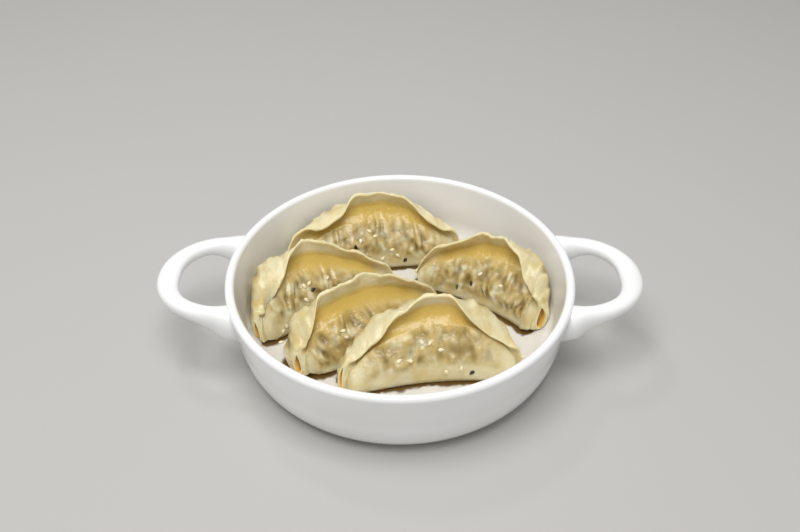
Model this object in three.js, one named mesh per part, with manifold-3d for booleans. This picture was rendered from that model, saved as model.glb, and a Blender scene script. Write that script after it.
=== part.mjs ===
import * as THREE from 'three';
import Module from 'manifold-3d';
import { mergeVertices } from 'three/addons/utils/BufferGeometryUtils.js';

// Bowl of steamed dumplings. Sizes in mm, +Z up, +Y toward the back.
// Origin: middle of the flat underside of the dish.

// Dish: a round, straight-sided bowl with a wide flat floor and two loop handles.
const RIM_RADIUS = 85;         // outside, at the rim
const DISH_HEIGHT = 42;
const BASE_RADIUS = 67.9;      // flat underside
const SHOULDER_RADIUS = 81.9;  // outside, where the curved foot meets the straight wall
const SHOULDER_HEIGHT = 22.3;
const CORNER_POWER = 2.4;      // roundness of the curve from floor to wall, inside and outside
const WALL = 4.5;
const FLOOR_THICK = 5;
const FLOOR_RADIUS = 60;       // flat part inside
const DISH_SIDES = 64;
const CORNER_STEPS = 5;
const RIM_STEPS = 4;

// Handles: level loops on +X and -X, an outer and an inner oval with a rounded band between.
const HANDLE_TIP = 119;
const HANDLE_HALF = 31.5;      // half width of the loop where it meets the wall
const HANDLE_TOP = 40.3;
const HANDLE_THICK = 7;
const HANDLE_ROUND = 2.7;      // power of the rounded band section
const HOLE_TIP = 108;
const HOLE_HALF = 22.5;
const OVAL_CENTRE = 82;
const OUTER_POWER = 2.1;
const HOLE_POWER = 2.6;
const FLARE = 3;               // the band widens this much on each side as it meets the wall
const FLARE_RUN = 9;
const ROOT_DROP = 12;          // and is this much deeper underneath, over a longer run
const ROOT_RUN = 20;
const HANDLE_STATIONS = 20;
const HANDLE_RING = 10;

// Dumpling: a half-moon of dough pinched along its curved seam, standing on its fold.
// Angle 0 is the left corner, 180 the right corner. Shared sizes first.
const SEAT_GAP = 0.35;         // clear of the floor, and half of it clear of each shared plane
const WALL_GAP = 0.65;         // clear of the curve from floor to wall
const DOUGH = 1.2;             // half thickness of the pinched seam at its root
const EDGE_DOUGH = 0.7;        // and at its free edge
const CORNER_RISE = 4.5;       // height of the seam's root at the two corners
const CORNER_STEP = 2;         // the seam's root ends this far short of the corner
const FOOT_STEP = 2.5;         // and the fold this much further in
const FRONT_FALL = 0.55;       // how the body thins out toward the corners, in front
const BACK_FALL = 0.38;        // and behind, where it stays blunt
const END_SPREAD = 22;         // angle over which the seam turns down to a corner
const BEND_START = 0.78;       // the upper part of each section leans over from here
const STATIONS = 32;
const END_ANGLE = 0.012;       // first section, as a share of the half turn
const CROWDING = 0.45;           // sections crowd toward the corners by this much
const BELLY_ROWS = 7;
const SEAM_ROWS = 3;
const BELLY_TOP = 0.999;         // last row of the body, just under the root of the seam
const LEAST = 1e-3;
// Half thickness of the filled body from the fold (0) to the root of the seam (1), front and back.
const BODY_AT = [0, 0.06, 0.15, 0.3, 0.45, 0.6, 0.75, 0.88, 1];
const FRONT_BODY = [0.82, 0.91, 0.97, 1, 0.94, 0.77, 0.5, 0.22, 0.02];
const BACK_BODY = [0.7, 0.84, 0.94, 1, 0.98, 0.88, 0.68, 0.42, 0.12];

// The soft unevenness of hand-folded dough. Waves are counts over the half turn, angles in degrees.
const BELL_POWER = 2.6;                          // flatness of the top of each local lean
const RIPPLE = [[7, 9, 1], [4, 19, 2]];          // lean of the seam: size, waves, share of the phase
const CORNER_SEAM = 0.6;                         // seam width at a corner, share of its full width
const SEAM_WAVE = [0.05, 13, 3];                 // unevenness of that width
const LOBES = [[0.45, 11, 1, 0], [0.315, 23, 2.3, 2]];  // filling pressing through: and twist up the body
const LOBES_IN = [0.1, 0.3];                     // heights between which the lobes grow
const LOBES_OUT = [0.65, 0.95];                  // and die away
const GAPE = [0.9, 13];                          // swelling at an open corner and its spread
const BEND_END = 0.55;                           // the bend ends at this share of the seam's width
const TIGHT = 0.75;                              // thickest front in a bend, share of its radius
const TIGHT_TURN = 0.5;                          // reached after this turn, in radians
const BOW_REACH = 1.1;                           // the crescent's bow goes on past the corners
const SEED_SPIN = 2.4;                           // turn from one seed to the next, in radians
const LIP_HEIGHT = 0.9;                          // height on the body where a slit's width is taken
const SLIT_ROUND = [10, 6];

// Each dumpling: middle of its fold, turn, length, height of the seam's root, seam width, body
// half thickness in front and behind, bow of the crescent, lean away, lift of one shoulder, fullness,
// then the lean of the seam: everywhere, at the two corners, and extra about two angles with
// their spread; last the corners where the seam has sprung open.
const DUMPLINGS = {
  dumpling_front: {
    x: 14, y: -38.3, turn: 7, length: 90.6, height: 30.9, seam: 7, front: 14.2,
    back: 12.4, bow: 10.6, lean: 20.7, skew: -0.21, full: 1.18, all: 21, ends: [6, -4],
    near: [91, 44, 34], far: [110, 137, 28], phase: 0.4, open: [0],
  },
  dumpling_middle: {
    x: -18, y: -12, turn: 30.9, length: 88, height: 27.6, seam: 7.8, front: 14.5,
    back: 13.9, bow: 1.5, lean: 16.4, skew: 0.13, full: 0.87, all: 19, ends: [40, 14],
    near: [102, 32, 24], far: [38, 143, 22], phase: 1.7, open: [0],
  },
  dumpling_left: {
    x: -38.4, y: 7.6, turn: 30.3, length: 82.9, height: 26.8, seam: 8.3, front: 12.1,
    back: 11.2, bow: 9.5, lean: 25.2, skew: 0.38, full: 0.77, all: 27, ends: [-7, 27],
    near: [149, 38, 30], far: [35, 137, 23], phase: 3.1, open: [0],
  },
  dumpling_back: {
    x: -13.3, y: 42.3, turn: 13.8, length: 97.6, height: 30.1, seam: 8.3, front: 12.2,
    back: 7.7, bow: 12.9, lean: 24.5, skew: 0.05, full: 0.84, all: 31, ends: [-8, 7],
    near: [62, 60, 22], far: [69, 140, 22], phase: 4.6, open: [],
  },
  dumpling_right: {
    x: 41.5, y: 13.5, turn: -34.6, length: 82.9, height: 29.9, seam: 8.8, front: 11.3,
    back: 6.3, bow: 11.4, lean: 18.4, skew: -0.35, full: 0.75, all: 37, ends: [67, -6],
    near: [23, 43, 33], far: [121, 142, 32], phase: 5.5, open: [180],
  },
};

// Where two neighbours press together each is flattened against a shared plane:
// the pair, the plane's direction and its distance from the origin.
const PRESSED = [
  ['dumpling_front', 'dumpling_middle', [-0.478, 0.835, -0.272], -14.45],
  ['dumpling_middle', 'dumpling_left', [-0.479, 0.856, -0.193], 16.08],
  ['dumpling_middle', 'dumpling_right', [0.794, 0.59, -0.145], 20.87],
  ['dumpling_left', 'dumpling_back', [-0.211, 0.887, -0.41], 33.93],
  ['dumpling_back', 'dumpling_right', [0.212, -0.976, -0.042], -39.3],
];

// Sesame seeds and one bit of herb stuck on the fronts: angle along the dumpling, height up the body.
const SEED = [1.5, 0.95, 0.6];    // half length, half width, half thickness
const SEED_BURIED = 0.32;
const SEED_ROUND = 6;
const SPOT_STEP = 0.03;
const SPOT_REACH = 3;
const SEED_SLICES = 3;
const SEEDS = {
  dumpling_front: [
    [86, 0.62], [91, 0.6], [70, 0.49], [77, 0.46], [101, 0.21], [111, 0.28], [119, 0.19], [98, 0.52],
  ],
  dumpling_middle: [[70, 0.65], [71, 0.56]],
  dumpling_left: [
    [78, 0.62], [83, 0.64], [98, 0.66], [76, 0.44], [51, 0.2], [45, 0.13], [84, 0.55],
  ],
  dumpling_back: [
    [93, 0.57], [89, 0.65], [82, 0.55], [96, 0.22], [103, 0.36], [107, 0.26], [78, 0.48], [112, 0.17],
  ],
  dumpling_right: [[84, 0.57], [103, 0.49], [80, 0.41], [68, 0.28]],
};
// Seeds that fell on the floor of the dish, one behind the left end and one before the front one.
const FLOOR_SEEDS = [[-59.7, -12.9], [29, -45.5]];

// Where a corner of the seam has sprung open: half height, half width and depth of the slit.
const SLIT = [4.6, 1, 2.6];
const SLIT_FROM = 0.25;
const SLIT_TO = 1.7;

const COLOURS = {
  dish: { color: 0xf4f3ef, roughness: 0.16, metalness: 0 },
  dumpling: { color: 0xd9c78f, roughness: 0.32, metalness: 0 },
};

const wasm = await Module();
wasm.setup();

const rad = THREE.MathUtils.degToRad;
const clamp = THREE.MathUtils.clamp;
const smooth = THREE.MathUtils.smoothstep;

/** Straight-line reading of a short table. */
function table(at, value, x) {
  let i = 1;
  while (i < at.length - 1 && x > at[i]) i += 1;
  const w = clamp((x - at[i - 1]) / (at[i] - at[i - 1]), 0, 1);
  return value[i - 1] + (value[i] - value[i - 1]) * w;
}

/** A bell with a flat top. */
function bell(x, centre, spread) {
  return Math.exp(-(Math.abs((x - centre) / spread) ** BELL_POWER));
}

/** Radius of the foot curve at the height z, between its lower and upper ends. */
function cornerRadius(r0, z0, r1, z1, z) {
  const u = clamp((z1 - z) / (z1 - z0), 0, 1);
  return r0 + (r1 - r0) * (1 - u ** CORNER_POWER) ** (1 / CORNER_POWER);
}

function outerRadius(z) {
  if (z > SHOULDER_HEIGHT) {
    const w = (z - SHOULDER_HEIGHT) / (DISH_HEIGHT - SHOULDER_HEIGHT);
    return SHOULDER_RADIUS + (RIM_RADIUS - SHOULDER_RADIUS) * w;
  }
  return cornerRadius(BASE_RADIUS, 0, SHOULDER_RADIUS, SHOULDER_HEIGHT, z);
}

/** Closed solid from a grid of rings, each ring the same number of points, ends closed. */
function ringSolid(rings, first, last) {
  const n = rings[0].length;
  const p = [];
  const index = [];
  rings.forEach((ring) => ring.forEach((v) => p.push(v.x, v.y, v.z)));
  p.push(first.x, first.y, first.z, last.x, last.y, last.z);
  const a = rings.length * n;
  for (let j = 0; j < rings.length - 1; j += 1) {
    for (let i = 0; i < n; i += 1) {
      const k = (i + 1) % n;
      const q = [j * n + i, j * n + k, (j + 1) * n + k, (j + 1) * n + i];
      index.push(q[0], q[1], q[2], q[0], q[2], q[3]);
    }
  }
  for (let i = 0; i < n; i += 1) {
    const k = (i + 1) % n;
    const e = (rings.length - 1) * n;
    index.push(a, k, i, a + 1, e + i, e + k);
  }
  const g = new THREE.BufferGeometry();
  g.setAttribute('position', new THREE.Float32BufferAttribute(p, 3));
  g.setIndex(index);
  return g;
}

/** Turns a grid inside out when its volume is negative. */
function facingOut(g) {
  const p = g.attributes.position;
  const ix = g.index.array;
  const [a, b, c] = [new THREE.Vector3(), new THREE.Vector3(), new THREE.Vector3()];
  let volume = 0;
  for (let i = 0; i < ix.length; i += 3) {
    a.fromBufferAttribute(p, ix[i]);
    b.fromBufferAttribute(p, ix[i + 1]);
    c.fromBufferAttribute(p, ix[i + 2]);
    volume += a.dot(b.cross(c));
  }
  if (volume < 0) {
    for (let i = 0; i < ix.length; i += 3) [ix[i + 1], ix[i + 2]] = [ix[i + 2], ix[i + 1]];
  }
  return g;
}

function toSolid(geometry) {
  const g = geometry.clone();
  ['normal', 'uv'].forEach((name) => g.deleteAttribute(name));
  const m = mergeVertices(g, 1e-4);
  return new wasm.Manifold(new wasm.Mesh({
    numProp: 3,
    vertProperties: new Float32Array(m.attributes.position.array),
    triVerts: new Uint32Array(m.index.array),
  }));
}

function toGeometry(solid) {
  const m = solid.getMesh();
  const p = new Float32Array(m.numVert * 3);
  for (let i = 0; i < m.numVert; i += 1) {
    for (let k = 0; k < 3; k += 1) p[i * 3 + k] = m.vertProperties[i * m.numProp + k];
  }
  const g = new THREE.BufferGeometry();
  g.setAttribute('position', new THREE.Float32BufferAttribute(p, 3));
  g.setIndex(new THREE.BufferAttribute(new Uint32Array(m.triVerts), 1));
  g.computeVertexNormals();
  return g;
}

/** The bowl: underside, outer wall, rounded rim, inner wall, floor, turned about the axis. */
function bowlGeometry() {
  const pts = [new THREE.Vector2(0, 0)];
  const foot = (r0, z0, r1, z1) => {
    const out = [];
    for (let i = 0; i <= CORNER_STEPS; i += 1) {
      const t = (i / CORNER_STEPS) * (Math.PI / 2);
      const c = Math.sin(t) ** (2 / CORNER_POWER);
      const s = Math.cos(t) ** (2 / CORNER_POWER);
      out.push(new THREE.Vector2(r0 + (r1 - r0) * c, z1 - (z1 - z0) * s));
    }
    return out;
  };
  pts.push(...foot(BASE_RADIUS, 0, SHOULDER_RADIUS, SHOULDER_HEIGHT));
  const lip = WALL / 2;
  for (let i = 0; i <= RIM_STEPS; i += 1) {
    const t = (i / RIM_STEPS) * Math.PI;
    pts.push(new THREE.Vector2(RIM_RADIUS - lip + lip * Math.cos(t), DISH_HEIGHT - lip + lip * Math.sin(t)));
  }
  pts.push(...foot(FLOOR_RADIUS, FLOOR_THICK, SHOULDER_RADIUS - WALL, SHOULDER_HEIGHT).reverse());
  pts.push(new THREE.Vector2(0, FLOOR_THICK));
  return new THREE.LatheGeometry(pts, DISH_SIDES).rotateX(Math.PI / 2);
}

/** One loop handle on +X: sections between the outer oval and the hole's oval. */
function handleGeometry() {
  const rings = [];
  const root = (z) => outerRadius(z) - WALL / 2;
  const oval = (t, tip, half, power) => {
    const c = Math.abs(Math.cos(t)) ** (2 / power);
    const s = Math.abs(Math.sin(t)) ** (2 / power) * Math.sign(Math.sin(t));
    return [OVAL_CENTRE + (tip - OVAL_CENTRE) * c, half * s];
  };
  for (let j = 0; j <= HANDLE_STATIONS; j += 1) {
    const t = (j / HANDLE_STATIONS - 0.5) * Math.PI;
    const end = j === 0 || j === HANDLE_STATIONS;
    const [xo, yo] = oval(t, HANDLE_TIP, HANDLE_HALF, OUTER_POWER);
    const [xi, yi] = oval(t, HOLE_TIP, HOLE_HALF, HOLE_POWER);
    const grow = (x, run) => clamp(1 - (x - OVAL_CENTRE) / run, 0, 1) ** 2;
    const side = Math.sign(t) || 1;
    const outer = [xo, yo + side * FLARE * grow(xo, FLARE_RUN)];
    const inner = [xi, yi - side * FLARE * grow(xi, FLARE_RUN)];
    const drop = ROOT_DROP * grow((xo + xi) / 2, ROOT_RUN);
    const ring = [];
    for (let i = 0; i < HANDLE_RING; i += 1) {
      const a = (i / HANDLE_RING) * Math.PI * 2;
      const c = Math.abs(Math.cos(a)) ** (2 / HANDLE_ROUND) * Math.sign(Math.cos(a));
      const s = Math.abs(Math.sin(a)) ** (2 / HANDLE_ROUND) * Math.sign(Math.sin(a));
      const thick = HANDLE_THICK + drop;
      let x = (outer[0] + inner[0]) / 2 + ((outer[0] - inner[0]) / 2) * c;
      const y = (outer[1] + inner[1]) / 2 + ((outer[1] - inner[1]) / 2) * c;
      const z = HANDLE_TOP - thick / 2 + (thick / 2) * s;
      if (end) x = Math.sqrt(root(z) ** 2 - y * y);
      ring.push(new THREE.Vector3(x, y, z));
    }
    rings.push(ring);
  }
  const middle = (ring) => {
    const m = ring.reduce((s, v) => s.add(v), new THREE.Vector3()).divideScalar(ring.length);
    m.x = Math.sqrt(root(m.z) ** 2 - m.y * m.y);
    return m;
  };
  return facingOut(ringSolid(rings, middle(rings[0]), middle(rings[rings.length - 1])));
}

/** Keeps a point of a dumpling off the dish and behind the planes it is pressed against. */
function settle(name, v) {
  PRESSED.forEach(([a, b, n, offset]) => {
    const side = a === name ? 1 : -1;
    if (a !== name && b !== name) return;
    const normal = new THREE.Vector3(...n).normalize();
    const over = side * (v.dot(normal) - offset) + SEAT_GAP / 2;
    if (over > 0) v.addScaledVector(normal, -side * over);
  });
  v.z = Math.max(v.z, FLOOR_THICK + SEAT_GAP);
  const r = Math.hypot(v.x, v.y);
  const inside = SHOULDER_RADIUS - WALL;
  let limit = r;
  if (v.z < SHOULDER_HEIGHT) {
    const a = (r - FLOOR_RADIUS) / (inside - FLOOR_RADIUS);
    const b = (SHOULDER_HEIGHT - v.z) / (SHOULDER_HEIGHT - FLOOR_THICK);
    const far = (Math.max(a, 0) ** CORNER_POWER + b ** CORNER_POWER) ** (1 / CORNER_POWER);
    const most = 1 - WALL_GAP / (SHOULDER_HEIGHT - FLOOR_THICK);
    if (a > 0 && far > most) {
      limit = FLOOR_RADIUS + (r - FLOOR_RADIUS) * (most / far);
      v.z = SHOULDER_HEIGHT - (SHOULDER_HEIGHT - v.z) * (most / far);
    }
  } else {
    limit = Math.min(r, outerRadius(v.z) - WALL - WALL_GAP);
  }
  if (r > limit) {
    v.x *= limit / r;
    v.y *= limit / r;
  }
  return v;
}

/** Station of a dumpling at an angle: foot and root of the section, and how it leans. */
function station(d, t) {
  const s = Math.max(Math.sin(t), LEAST);
  const reach = d.length / 2 - CORNER_STEP;
  const turn = THREE.MathUtils.radToDeg(t);
  const rise = CORNER_RISE + (d.height - CORNER_RISE) * s ** d.full * (1 + d.skew * Math.cos(t));
  const foot = new THREE.Vector2(-(reach - FOOT_STEP) * Math.cos(t), 0);
  const rootPoint = new THREE.Vector2(-reach * Math.cos(t), rise);
  const ripple = RIPPLE.reduce((sum, [size, waves, share]) => (
    sum + size * Math.sin(waves * t + share * d.phase)), 0);
  const lean = d.all + d.near[0] * bell(turn, d.near[1], d.near[2])
    + d.far[0] * bell(turn, d.far[1], d.far[2]) + d.ends[0] * bell(turn, 0, END_SPREAD)
    + d.ends[1] * bell(turn, 180, END_SPREAD) + ripple * s;
  const [uneven, waves, share] = SEAM_WAVE;
  const width = d.seam * (CORNER_SEAM + (1 - CORNER_SEAM) * Math.sqrt(s))
    * (1 + uneven * Math.sin(waves * t + share * d.phase));
  return { s, foot, root: rootPoint, lean: rad(lean), width };
}

/** Point on the dough: angle t, way l in 0..1 up the body and 1..2 up the seam, side -1 front. */
function doughPoint(name, t, l, side) {
  const d = DUMPLINGS[name];
  const { s, foot, root, lean, width } = station(d, t);
  const up = root.clone().sub(foot);
  const long = up.length();
  up.normalize();
  const swell = side < 0 ? d.front * s ** FRONT_FALL : d.back * s ** BACK_FALL;
  const fold = (1 - BEND_START) * long;
  const v = Math.min(l, 1);
  const w = Math.max(l - 1, 0);
  const shape = side < 0 ? FRONT_BODY : BACK_BODY;
  let half = swell * table(BODY_AT, shape, v) * (1 - w) ** 2 + DOUGH + (EDGE_DOUGH - DOUGH) * w;
  if (l < 1) {
    const lobes = LOBES.reduce((sum, [size, waves, share, twist]) => (
      sum + size * Math.sin(waves * t + share * d.phase + twist * v)), 0);
    half += lobes * s * smooth(v, ...LOBES_IN) * (1 - smooth(v, ...LOBES_OUT));
  }
  d.open.forEach((corner) => {
    half += GAPE[0] * bell(THREE.MathUtils.radToDeg(t), corner, GAPE[1]) * (l < 1 ? v : 1);
  });
  // the centre line: straight, then a round bend, then straight again at the full lean
  const along = l < 1 ? v * long - (long - fold) : fold + w * width;
  const sign = lean < 0 ? -1 : 1;
  const angle = Math.max(Math.abs(lean), LEAST);
  const arc = fold + BEND_END * width;
  const radius = arc / angle;
  const a = clamp(along / radius, 0, angle);
  if (side < 0) {
    const tight = Math.min(half, TIGHT * radius);
    half += (tight - half) * smooth(a, 0, TIGHT_TURN);
  }
  const past = Math.max(along - arc, 0);
  const rise = along < 0 ? along : radius * Math.sin(a) + past * Math.cos(angle);
  const out = along < 0 ? 0 : (radius * (1 - Math.cos(a)) + past * Math.sin(angle)) * sign;
  const base = long - fold + rise + side * half * Math.sin(a) * sign;
  const x = foot.x + up.x * base;
  const z = foot.y + up.y * base;
  const q = clamp((2 * x) / d.length, -BOW_REACH, BOW_REACH);
  const y = -out + side * half * Math.cos(a) + d.bow * (1 - q * q) + Math.tan(rad(d.lean)) * z;
  const c = Math.cos(rad(d.turn));
  const n = Math.sin(rad(d.turn));
  const point = new THREE.Vector3(d.x + c * x - n * y, d.y + n * x + c * y, z + FLOOR_THICK + SEAT_GAP);
  return settle(name, point);
}

/** Angle of a section, closer together toward the corners. */
function stationAngle(u) {
  const even = END_ANGLE + (1 - 2 * END_ANGLE) * u;
  return (even - (CROWDING * Math.sin(2 * Math.PI * even)) / (2 * Math.PI)) * Math.PI;
}

/** Whole dumpling as rings round its sections, closed at both corners. */
function dumplingGeometry(name) {
  const rings = [];
  for (let j = 0; j <= STATIONS; j += 1) {
    const t = stationAngle(j / STATIONS);
    const ring = [];
    for (let i = 0; i <= BELLY_ROWS; i += 1) ring.push(doughPoint(name, t, (i / BELLY_ROWS) * BELLY_TOP, -1));
    for (let i = 1; i <= SEAM_ROWS; i += 1) ring.push(doughPoint(name, t, 1 + i / SEAM_ROWS, -1));
    for (let i = SEAM_ROWS; i > 0; i -= 1) ring.push(doughPoint(name, t, 1 + i / SEAM_ROWS, 1));
    for (let i = BELLY_ROWS; i >= 0; i -= 1) ring.push(doughPoint(name, t, (i / BELLY_ROWS) * BELLY_TOP, 1));
    ring.push(ring[0].clone().lerp(ring[ring.length - 1], 0.5));
    rings.push(ring);
  }
  const middle = (ring) => {
    const m = ring.reduce((s, v) => s.add(v), new THREE.Vector3()).divideScalar(ring.length);
    return m;
  };
  return facingOut(ringSolid(rings, middle(rings[0]), middle(rings[rings.length - 1])));
}

/** A flattened seed lying on a surface point with the given outward direction. */
function seedSolid(point, normal, turn) {
  const g = new THREE.SphereGeometry(1, SEED_ROUND, SEED_SLICES).scale(...SEED);
  const q = new THREE.Quaternion().setFromUnitVectors(new THREE.Vector3(0, 0, 1), normal);
  const spin = new THREE.Quaternion().setFromAxisAngle(new THREE.Vector3(0, 0, 1), turn);
  g.applyQuaternion(q.multiply(spin));
  const at = point.clone().addScaledVector(normal, SEED[2] - 2 * SEED[2] * SEED_BURIED);
  return toSolid(g.translate(at.x, at.y, at.z));
}

/** Spot on the body's surface in front of a dumpling at an angle and height. */
function spot(name, body, t, l) {
  const p = doughPoint(name, t, l, -1);
  const a = doughPoint(name, t + SPOT_STEP, l, -1).sub(p);
  const b = doughPoint(name, t, l + SPOT_STEP, -1).sub(p);
  const normal = a.cross(b).normalize();
  const eye = new THREE.Raycaster(p.addScaledVector(normal, SPOT_REACH), normal.negate());
  const hit = eye.intersectObject(new THREE.Mesh(body, new THREE.MeshBasicMaterial()))[0];
  return { point: hit.point, normal: hit.face.normal };
}

/** The slit between the two lips of dough at an open corner. */
function slitSolid(name, t) {
  const mid = (l) => doughPoint(name, t, l, -1).add(doughPoint(name, t, l, 1)).multiplyScalar(0.5);
  const [low, high] = [mid(SLIT_FROM), mid(SLIT_TO)];
  const up = high.clone().sub(low).normalize();
  const across = doughPoint(name, t, LIP_HEIGHT, 1).sub(doughPoint(name, t, LIP_HEIGHT, -1));
  across.addScaledVector(up, -across.dot(up)).normalize();
  const out = new THREE.Vector3().crossVectors(up, across);
  const g = new THREE.SphereGeometry(1, ...SLIT_ROUND).scale(...SLIT);
  g.applyMatrix4(new THREE.Matrix4().makeBasis(up, across, out));
  const at = low.lerp(high, 0.5);
  return toSolid(g.translate(at.x, at.y, at.z));
}

const part = new THREE.Group();
part.name = 'bowl_of_dumplings';

function add(name, geometry, look) {
  const mesh = new THREE.Mesh(geometry, new THREE.MeshStandardMaterial(look));
  mesh.name = name;
  part.add(mesh);
}

const handle = handleGeometry();
const otherHandle = handle.clone().rotateZ(Math.PI);
let dish = toSolid(bowlGeometry()).add(toSolid(handle)).add(toSolid(otherHandle));
FLOOR_SEEDS.forEach(([x, y]) => {
  dish = dish.add(seedSolid(new THREE.Vector3(x, y, FLOOR_THICK), new THREE.Vector3(0, 0, 1), x * y));
});
add('dish', toGeometry(dish), COLOURS.dish);

Object.entries(DUMPLINGS).forEach(([name, d]) => {
  let solid = toSolid(dumplingGeometry(name));
  d.open.forEach((corner) => {
    const t = stationAngle(corner === 0 ? 0 : 1);
    solid = solid.subtract(slitSolid(name, t));
  });
  const body = toGeometry(solid);
  SEEDS[name].forEach(([angle, height], i) => {
    const { point, normal } = spot(name, body, rad(angle), height);
    solid = solid.add(seedSolid(point, normal, d.phase + SEED_SPIN * i));
  });
  add(name, toGeometry(solid), COLOURS.dumpling);
});

export default part;
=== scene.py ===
import math

import bmesh
import bpy
import numpy as np
from bpy.props import FloatProperty, FloatVectorProperty, IntProperty, PointerProperty
from mathutils import Matrix, Vector, noise
from mathutils.bvhtree import BVHTree


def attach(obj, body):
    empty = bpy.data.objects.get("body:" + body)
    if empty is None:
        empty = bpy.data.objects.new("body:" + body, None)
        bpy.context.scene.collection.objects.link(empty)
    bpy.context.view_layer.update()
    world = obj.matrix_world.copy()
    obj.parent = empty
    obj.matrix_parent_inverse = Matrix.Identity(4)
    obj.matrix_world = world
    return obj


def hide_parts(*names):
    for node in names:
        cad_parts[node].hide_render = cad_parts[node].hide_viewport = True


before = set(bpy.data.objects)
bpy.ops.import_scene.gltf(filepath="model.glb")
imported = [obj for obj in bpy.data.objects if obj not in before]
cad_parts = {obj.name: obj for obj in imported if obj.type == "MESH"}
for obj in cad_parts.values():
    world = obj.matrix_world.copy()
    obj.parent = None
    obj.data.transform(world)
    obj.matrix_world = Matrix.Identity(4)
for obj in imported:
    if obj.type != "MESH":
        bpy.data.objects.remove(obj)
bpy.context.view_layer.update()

bl_info = {
    "name": "Bowl of steamed dumplings",
    "version": (1, 0, 0),
    "blender": (4, 5, 0),
    "location": "3D View > Sidebar > Dumplings",
    "description": "Makes a two-handled porcelain dish with five steamed half-moon dumplings",
    "category": "Add Mesh",
}

MM = 0.001

# Dish, in mm: a round straight-sided bowl with a wide flat floor and two loop handles.
BASE_RADIUS = 67.9
SHOULDER_RADIUS = 81.9    # outside, where the rounded foot meets the straight wall
SHOULDER_HEIGHT = 22.3
CORNER_POWER = 2.4        # how square the rounded foot is; 2 would be a plain oval
FLOOR_THICK = 5
FLOOR_RADIUS = 60
START_SHARE = 0.5         # of the base's radius: the disc that the bowl is drawn out of
CORNER_STEPS = 14
RIM_STEPS = 12
FLOOR_STEPS = 60
HANDLE_HALF = 31.5        # half width of a handle's outline
HANDLE_TOP = 40.3         # height of its upper side
HANDLE_THICK = 7
HANDLE_ROUND = 2.4        # how square its section is
HOLE_TIP = 108            # reach of its hole from the middle of the dish
HOLE_HALF = 22.5          # half width of the hole
OVAL_CENTRE = 82          # its outline and its hole are half ovals about this place
OUTER_POWER = 2.1         # how square they are
HOLE_POWER = 2.6
FLARE = 3                 # it widens by this toward the wall, over FLARE_RUN
FLARE_RUN = 9
ROOT_DROP = 12            # and gets deeper by this, over ROOT_RUN
ROOT_RUN = 20
HANDLE_STATIONS = 72
HANDLE_POINTS = 32
WELD = 1e-4               # points nearer to each other than this are one

# Juice on the floor of the dish, in mm, darkened as painted shade: a film over the floor stands for the shade
# between the dumplings and walls, and the line at each foot holds a painted contact shadow.
FOOT_MARKS = 200          # places along a dumpling's foot that it is measured from
LEVEL_SLACK = 0.1         # a point counts as on the floor down to this far under it
FOOT_LEVEL = 0.02         # share of the body's height where the foot is read
JUICE_REACH = 6           # how far it reaches from a foot
JUICE_WAVES = ((4, 11, 0.5), (3, 2.6, 4.5))  # how much that varies, over what length, seed of the noise
JUICE_LEAST = 3
JUICE_FILM_SHADE = 0.3          # strength of the film between the dumplings, a film of juice darkened as painted shade, where 1 is the line at a foot
JUICE_FADE = (1, 7)       # heights above the floor between which it ends

# Dumplings, in mm and degrees: half moons of dough pinched along a curved seam. A section across one goes
# up its body, from 0 at the foot to 1 at the root of the seam, and up the seam, from 1 to 2 at its free edge.
CONTACT = 0.03            # clear of the floor and of a neighbour
WALL_GAP = 0.5            # clear of the wall of the dish
DOUGH = 1.2               # half thickness of the seam at its root
EDGE_DOUGH = 0.7          # and at its free edge
CORNER_RISE = 4.5         # height of the seam's root at the corners
CORNER_STEP = 2           # the seam's root ends this far inside the dumpling's length
FOOT_STEP = 2.5           # and the foot ends this much further in
FRONT_FALL = 0.55         # how fast the front and the back get thinner toward the corners
BACK_FALL = 0.38
END_SPREAD = 22           # how far from a corner its own lean reaches, in degrees
BEND_START = 0.78         # share of the body's height where the curl begins
BEND_END = 0.55           # share of the seam's width where it ends
END_ANGLE = 0.012         # share of the half turn left out at each corner
CROWDING = 0.45           # how much closer together the sections lie near the corners
BELL_POWER = 2.6
RIPPLE = ((7, 9, 1), (4, 19, 2))  # waves of the lean: degrees, how many, share of the phase
CORNER_SEAM = 0.6         # share of the seam's width that is left at the corners
SEAM_WAVE = (0.05, 13, 3)  # waves of the seam's width: share, how many, share of the phase
LOBES = ((0.45, 11, 1, 0), (0.315, 23, 2.3, 2))  # swellings of the body: mm, how many, phase, twist
TIGHT = 0.75              # most of the curl's radius that the front's thickness may fill
TIGHT_TURN = 0.5          # from this turn of the curl on, in radians
BOW_REACH = 1.1           # the bow is followed this far past the ends
LEAN_WAVE = (3, 5, 9.1)   # unevenness of the seam's lean: degrees, length in mm, seed of the noise
WIDTH_WAVES = ((0.4, 2.8, 3.7), (0.35, 1.1, 5.2))  # of its width: mm, length, seed
EDGE_WAVE = (0.25, 1.7, 7.7)  # and of its thickness near the free edge

# A sprung corner has come open: it stands up, faces forward and shows a small mouth. The runs are the
# lengths in mm over which each of these changes go over to the plain form.
SPRUNG_RUN = 9            # it sits forward of the dumpling's middle line
SPRUNG_LEAST = 2.1        # half thickness of its front sheet
SPRUNG_LOW = 9            # it loses height
SPRUNG_NARROW = (0.65, 11)  # share of the seam's width lost there, and its run
SPRUNG_UP = (2.6, 7)      # how far it rides up the curve of the dish, and its run
GAPE = (0.6, 13)          # how much thicker it is, and how far that reaches, in degrees
FACE_WIDE = 4             # width of the mouth that is turned toward the front
TURN_RUN = 16             # the mouth is turned to the front and drawn in
CUT_RUN = 0.9             # the corner is cut at a slant, over this angle in radians
CUT_POWER = 1.5
TAPER_RUN = 9             # a tapered corner's seam gets narrower
FAR_OFF = 1000            # stands for the distance to a sprung corner where a dumpling has none

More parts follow.
